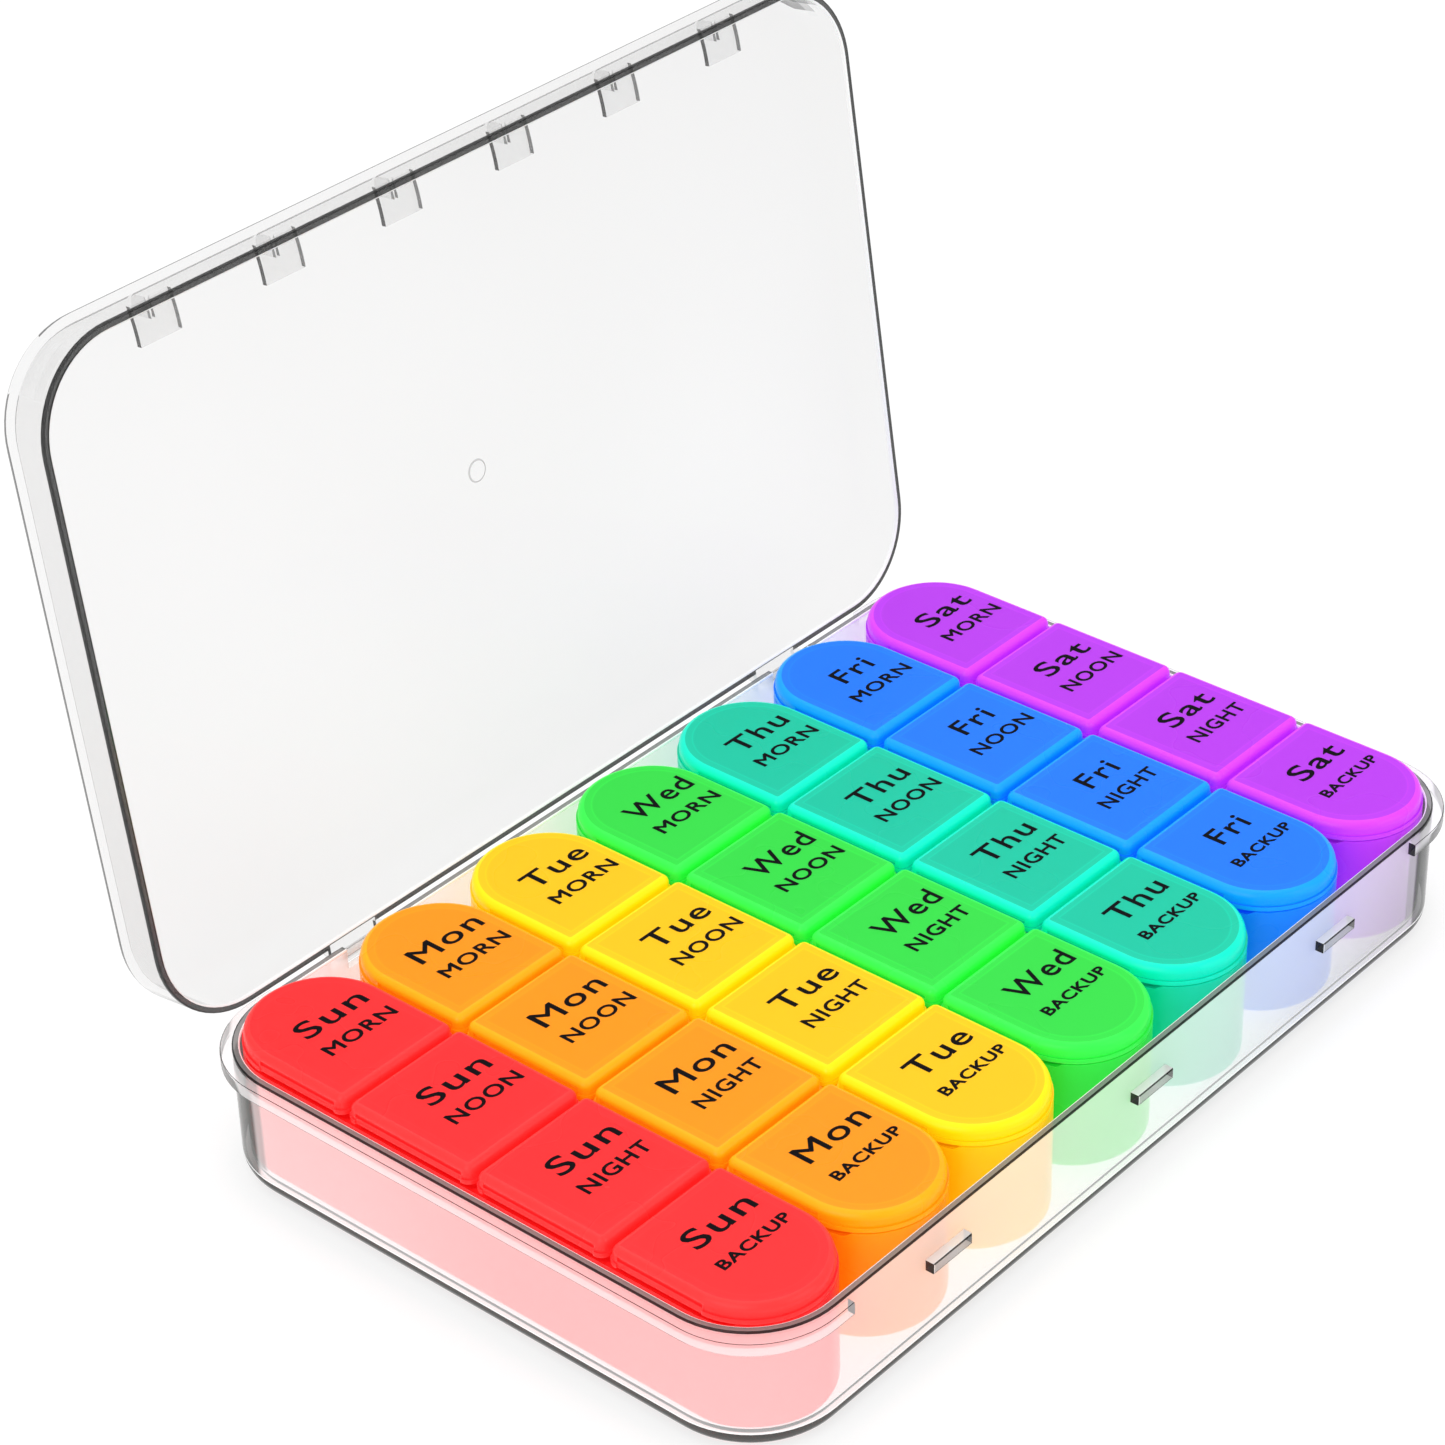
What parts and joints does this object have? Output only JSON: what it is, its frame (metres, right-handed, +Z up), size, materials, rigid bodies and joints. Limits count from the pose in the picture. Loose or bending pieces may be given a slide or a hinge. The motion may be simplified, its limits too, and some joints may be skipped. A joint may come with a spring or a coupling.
{
  "type": "travel pill organizer",
  "caption": "Clear hinged travel case holding a row of coloured, round-ended pill boxes, each lifting out and having compartments under hinged flaps.",
  "frame": {"origin": "centre of the tray's flat underside", "axes": "+Z up, +X along the case's long side toward the last day, +Y toward the case hinge"},
  "size_m": [0.2178, 0.1715, 0.1588],
  "materials": {
    "clear_plastic": "clear gloss",
    "red_plastic": "translucent gloss",
    "orange_plastic": "translucent gloss",
    "yellow_plastic": "translucent gloss",
    "green_plastic": "translucent gloss",
    "teal_plastic": "translucent gloss",
    "blue_plastic": "translucent gloss",
    "purple_plastic": "translucent gloss"
  },
  "bodies": {
    "tray": {"tray": "clear_plastic"},
    "case_lid": {"case_lid": "clear_plastic"},
    "sunday_box": {"sunday_box": "red_plastic"},
    "monday_box": {"monday_box": "orange_plastic"},
    "tuesday_box": {"tuesday_box": "yellow_plastic"},
    "wednesday_box": {"wednesday_box": "green_plastic"},
    "thursday_box": {"thursday_box": "teal_plastic"},
    "friday_box": {"friday_box": "blue_plastic"},
    "saturday_box": {"saturday_box": "purple_plastic"},
    "sunday_morning_flap": {"sunday_morning_flap": "red_plastic"},
    "sunday_noon_flap": {"sunday_noon_flap": "red_plastic"},
    "sunday_night_flap": {"sunday_night_flap": "red_plastic"},
    "sunday_backup_flap": {"sunday_backup_flap": "red_plastic"},
    "monday_morning_flap": {"monday_morning_flap": "orange_plastic"},
    "monday_noon_flap": {"monday_noon_flap": "orange_plastic"},
    "monday_night_flap": {"monday_night_flap": "orange_plastic"},
    "monday_backup_flap": {"monday_backup_flap": "orange_plastic"},
    "tuesday_morning_flap": {"tuesday_morning_flap": "yellow_plastic"},
    "tuesday_noon_flap": {"tuesday_noon_flap": "yellow_plastic"},
    "tuesday_night_flap": {"tuesday_night_flap": "yellow_plastic"},
    "tuesday_backup_flap": {"tuesday_backup_flap": "yellow_plastic"},
    "wednesday_morning_flap": {"wednesday_morning_flap": "green_plastic"},
    "wednesday_noon_flap": {"wednesday_noon_flap": "green_plastic"},
    "wednesday_night_flap": {"wednesday_night_flap": "green_plastic"},
    "wednesday_backup_flap": {"wednesday_backup_flap": "green_plastic"},
    "thursday_morning_flap": {"thursday_morning_flap": "teal_plastic"},
    "thursday_noon_flap": {"thursday_noon_flap": "teal_plastic"},
    "thursday_night_flap": {"thursday_night_flap": "teal_plastic"},
    "thursday_backup_flap": {"thursday_backup_flap": "teal_plastic"},
    "friday_morning_flap": {"friday_morning_flap": "blue_plastic"},
    "friday_noon_flap": {"friday_noon_flap": "blue_plastic"},
    "friday_night_flap": {"friday_night_flap": "blue_plastic"},
    "friday_backup_flap": {"friday_backup_flap": "blue_plastic"},
    "saturday_morning_flap": {"saturday_morning_flap": "purple_plastic"},
    "saturday_noon_flap": {"saturday_noon_flap": "purple_plastic"},
    "saturday_night_flap": {"saturday_night_flap": "purple_plastic"},
    "saturday_backup_flap": {"saturday_backup_flap": "purple_plastic"}
  },
  "joints": [
    {"name": "case_lid_hinge", "type": "hinge", "parent": "tray", "child": "case_lid", "pos_m": [0, 0.0685, 0.0239], "axis": [-1, 0, 0], "range_deg": [-97.7, 0]},
    {"name": "sunday_box_lift", "type": "slide", "parent": "tray", "child": "sunday_box", "axis": [0, 0, 1], "range_m": [0, 0.04]},
    {"name": "monday_box_lift", "type": "slide", "parent": "tray", "child": "monday_box", "axis": [0, 0, 1], "range_m": [0, 0.04]},
    {"name": "tuesday_box_lift", "type": "slide", "parent": "tray", "child": "tuesday_box", "axis": [0, 0, 1], "range_m": [0, 0.04]},
    {"name": "wednesday_box_lift", "type": "slide", "parent": "tray", "child": "wednesday_box", "axis": [0, 0, 1], "range_m": [0, 0.04]},
    {"name": "thursday_box_lift", "type": "slide", "parent": "tray", "child": "thursday_box", "axis": [0, 0, 1], "range_m": [0, 0.04]},
    {"name": "friday_box_lift", "type": "slide", "parent": "tray", "child": "friday_box", "axis": [0, 0, 1], "range_m": [0, 0.04]},
    {"name": "saturday_box_lift", "type": "slide", "parent": "tray", "child": "saturday_box", "axis": [0, 0, 1], "range_m": [0, 0.04]},
    {"name": "sunday_morning_flap_hinge", "type": "hinge", "parent": "sunday_box", "child": "sunday_morning_flap", "pos_m": [-0.102, 0.0484, 0.0276], "axis": [0, -1, 0], "range_deg": [0, 100]},
    {"name": "sunday_noon_flap_hinge", "type": "hinge", "parent": "sunday_box", "child": "sunday_noon_flap", "pos_m": [-0.102, 0.01545, 0.0276], "axis": [0, -1, 0], "range_deg": [0, 100]},
    {"name": "sunday_night_flap_hinge", "type": "hinge", "parent": "sunday_box", "child": "sunday_night_flap", "pos_m": [-0.102, -0.01545, 0.0276], "axis": [0, -1, 0], "range_deg": [0, 100]},
    {"name": "sunday_backup_flap_hinge", "type": "hinge", "parent": "sunday_box", "child": "sunday_backup_flap", "pos_m": [-0.102, -0.0484, 0.0276], "axis": [0, -1, 0], "range_deg": [0, 100]},
    {"name": "monday_morning_flap_hinge", "type": "hinge", "parent": "monday_box", "child": "monday_morning_flap", "pos_m": [-0.072, 0.0484, 0.0276], "axis": [0, -1, 0], "range_deg": [0, 100]},
    {"name": "monday_noon_flap_hinge", "type": "hinge", "parent": "monday_box", "child": "monday_noon_flap", "pos_m": [-0.072, 0.01545, 0.0276], "axis": [0, -1, 0], "range_deg": [0, 100]},
    {"name": "monday_night_flap_hinge", "type": "hinge", "parent": "monday_box", "child": "monday_night_flap", "pos_m": [-0.072, -0.01545, 0.0276], "axis": [0, -1, 0], "range_deg": [0, 100]},
    {"name": "monday_backup_flap_hinge", "type": "hinge", "parent": "monday_box", "child": "monday_backup_flap", "pos_m": [-0.072, -0.0484, 0.0276], "axis": [0, -1, 0], "range_deg": [0, 100]},
    {"name": "tuesday_morning_flap_hinge", "type": "hinge", "parent": "tuesday_box", "child": "tuesday_morning_flap", "pos_m": [-0.042, 0.0484, 0.0276], "axis": [0, -1, 0], "range_deg": [0, 100]},
    {"name": "tuesday_noon_flap_hinge", "type": "hinge", "parent": "tuesday_box", "child": "tuesday_noon_flap", "pos_m": [-0.042, 0.01545, 0.0276], "axis": [0, -1, 0], "range_deg": [0, 100]},
    {"name": "tuesday_night_flap_hinge", "type": "hinge", "parent": "tuesday_box", "child": "tuesday_night_flap", "pos_m": [-0.042, -0.01545, 0.0276], "axis": [0, -1, 0], "range_deg": [0, 100]},
    {"name": "tuesday_backup_flap_hinge", "type": "hinge", "parent": "tuesday_box", "child": "tuesday_backup_flap", "pos_m": [-0.042, -0.0484, 0.0276], "axis": [0, -1, 0], "range_deg": [0, 100]},
    {"name": "wednesday_morning_flap_hinge", "type": "hinge", "parent": "wednesday_box", "child": "wednesday_morning_flap", "pos_m": [-0.012, 0.0484, 0.0276], "axis": [0, -1, 0], "range_deg": [0, 100]},
    {"name": "wednesday_noon_flap_hinge", "type": "hinge", "parent": "wednesday_box", "child": "wednesday_noon_flap", "pos_m": [-0.012, 0.01545, 0.0276], "axis": [0, -1, 0], "range_deg": [0, 100]},
    {"name": "wednesday_night_flap_hinge", "type": "hinge", "parent": "wednesday_box", "child": "wednesday_night_flap", "pos_m": [-0.012, -0.01545, 0.0276], "axis": [0, -1, 0], "range_deg": [0, 100]},
    {"name": "wednesday_backup_flap_hinge", "type": "hinge", "parent": "wednesday_box", "child": "wednesday_backup_flap", "pos_m": [-0.012, -0.0484, 0.0276], "axis": [0, -1, 0], "range_deg": [0, 100]},
    {"name": "thursday_morning_flap_hinge", "type": "hinge", "parent": "thursday_box", "child": "thursday_morning_flap", "pos_m": [0.018, 0.0484, 0.0276], "axis": [0, -1, 0], "range_deg": [0, 100]},
    {"name": "thursday_noon_flap_hinge", "type": "hinge", "parent": "thursday_box", "child": "thursday_noon_flap", "pos_m": [0.018, 0.01545, 0.0276], "axis": [0, -1, 0], "range_deg": [0, 100]},
    {"name": "thursday_night_flap_hinge", "type": "hinge", "parent": "thursday_box", "child": "thursday_night_flap", "pos_m": [0.018, -0.01545, 0.0276], "axis": [0, -1, 0], "range_deg": [0, 100]},
    {"name": "thursday_backup_flap_hinge", "type": "hinge", "parent": "thursday_box", "child": "thursday_backup_flap", "pos_m": [0.018, -0.0484, 0.0276], "axis": [0, -1, 0], "range_deg": [0, 100]},
    {"name": "friday_morning_flap_hinge", "type": "hinge", "parent": "friday_box", "child": "friday_morning_flap", "pos_m": [0.048, 0.0484, 0.0276], "axis": [0, -1, 0], "range_deg": [0, 100]},
    {"name": "friday_noon_flap_hinge", "type": "hinge", "parent": "friday_box", "child": "friday_noon_flap", "pos_m": [0.048, 0.01545, 0.0276], "axis": [0, -1, 0], "range_deg": [0, 100]},
    {"name": "friday_night_flap_hinge", "type": "hinge", "parent": "friday_box", "child": "friday_night_flap", "pos_m": [0.048, -0.01545, 0.0276], "axis": [0, -1, 0], "range_deg": [0, 100]},
    {"name": "friday_backup_flap_hinge", "type": "hinge", "parent": "friday_box", "child": "friday_backup_flap", "pos_m": [0.048, -0.0484, 0.0276], "axis": [0, -1, 0], "range_deg": [0, 100]},
    {"name": "saturday_morning_flap_hinge", "type": "hinge", "parent": "saturday_box", "child": "saturday_morning_flap", "pos_m": [0.078, 0.0484, 0.0276], "axis": [0, -1, 0], "range_deg": [0, 100]},
    {"name": "saturday_noon_flap_hinge", "type": "hinge", "parent": "saturday_box", "child": "saturday_noon_flap", "pos_m": [0.078, 0.01545, 0.0276], "axis": [0, -1, 0], "range_deg": [0, 100]},
    {"name": "saturday_night_flap_hinge", "type": "hinge", "parent": "saturday_box", "child": "saturday_night_flap", "pos_m": [0.078, -0.01545, 0.0276], "axis": [0, -1, 0], "range_deg": [0, 100]},
    {"name": "saturday_backup_flap_hinge", "type": "hinge", "parent": "saturday_box", "child": "saturday_backup_flap", "pos_m": [0.078, -0.0484, 0.0276], "axis": [0, -1, 0], "range_deg": [0, 100]}
  ]
}
